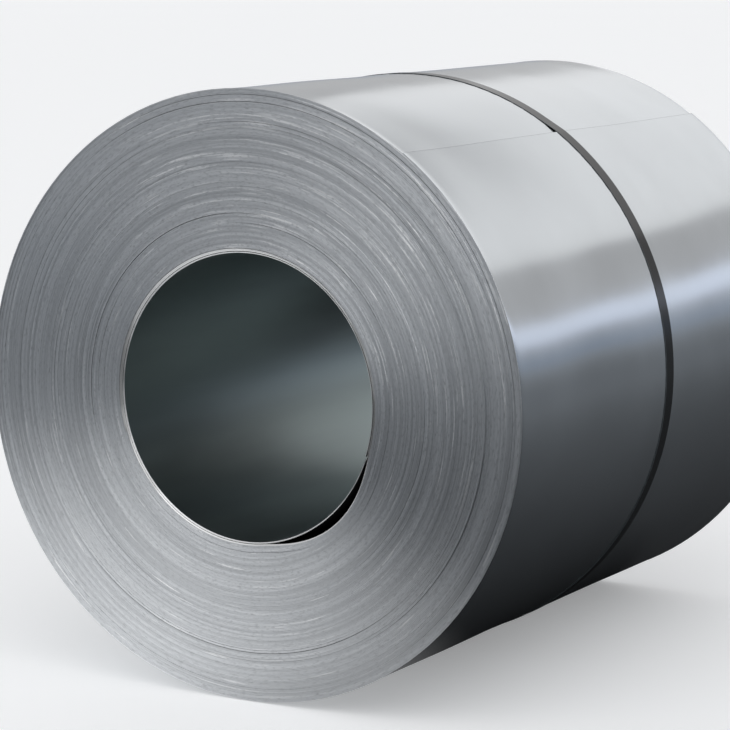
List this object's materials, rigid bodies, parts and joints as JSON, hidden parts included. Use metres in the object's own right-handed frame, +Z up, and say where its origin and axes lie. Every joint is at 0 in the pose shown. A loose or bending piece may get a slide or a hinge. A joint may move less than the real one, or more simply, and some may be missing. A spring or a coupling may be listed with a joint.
{
  "type": "steel coil",
  "caption": "Cold-rolled steel strip wound into a coil with an open eye, lying on its side, held by a flat steel strap round its middle.",
  "frame": {"origin": "on the floor under the middle of the coil", "axes": "+Y along the coil's axis away from the end with the loose inner lap, +Z up"},
  "size_m": [1.0852, 1.203, 1.0852],
  "materials": {
    "cold_rolled_steel": "bright cold-rolled, lightly oiled",
    "strapping_steel": "black waxed",
    "seal_steel": "dark waxed"
  },
  "bodies": {
    "root": {"coil": "cold_rolled_steel", "strap": "strapping_steel", "strap_seal": "seal_steel"}
  },
  "joints": []
}
